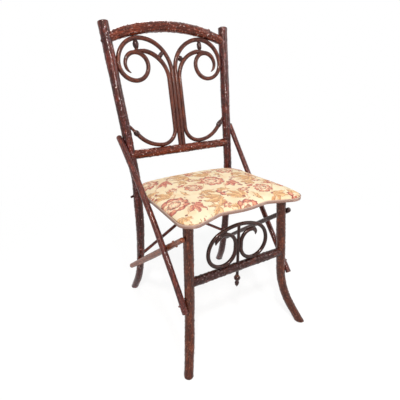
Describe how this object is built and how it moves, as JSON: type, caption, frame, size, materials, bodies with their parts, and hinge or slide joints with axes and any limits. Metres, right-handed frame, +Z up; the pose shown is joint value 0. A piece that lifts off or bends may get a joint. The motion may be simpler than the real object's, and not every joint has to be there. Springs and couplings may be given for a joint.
{
  "type": "twig chair",
  "caption": "Rustic side chair of bent, varnished twigs with a scrolled back, crossed and bowed braces and an upholstered seat.",
  "frame": {"origin": "on the floor, at the middle of the chair's overall box", "axes": "+Z up, the chair faces -Y, +X to the right of someone who looks at its front"},
  "size_m": [0.4494, 0.5094, 0.927],
  "materials": {
    "barked_stick": "varnished bark",
    "bent_rod": "varnished bark",
    "pale_twig": "varnished bark",
    "board_wood": "sawn",
    "cover_fabric": "woven floral",
    "padding": "matt",
    "gimp": "woven braid",
    "steel": "dulled"
  },
  "bodies": {
    "root": {"back_post_left": "barked_stick", "back_post_right": "barked_stick", "back_scroll_nails": "steel", "brace_nails": "steel", "cover_tacks": "steel", "crest_rail": "barked_stick", "cross_brace_front": "barked_stick", "cross_brace_nail": "steel", "cross_brace_rear": "barked_stick", "crown_bead_left": "bent_rod", "crown_bead_right": "bent_rod", "curl_knob_left": "bent_rod", "curl_knob_right": "bent_rod", "curl_rod_left": "bent_rod", "curl_rod_right": "bent_rod", "drop_finial": "bent_rod", "drop_rod": "bent_rod", "front_leg_left": "barked_stick", "front_leg_right": "barked_stick", "front_scroll": "bent_rod", "front_scroll_nails": "steel", "front_stretcher": "barked_stick", "long_brace_left": "barked_stick", "long_brace_right": "barked_stick", "lower_back_rail": "barked_stick", "rear_seat_rail": "barked_stick", "seat_board": "board_wood", "seat_cover": "cover_fabric", "seat_gimp": "gimp", "seat_padding": "padding", "seat_screws": "steel", "short_brace_left": "pale_twig", "short_brace_right": "barked_stick", "throat_bead_left": "bent_rod", "throat_bead_right": "bent_rod", "volute_rod_left": "bent_rod", "volute_rod_right": "bent_rod"}
  },
  "joints": []
}
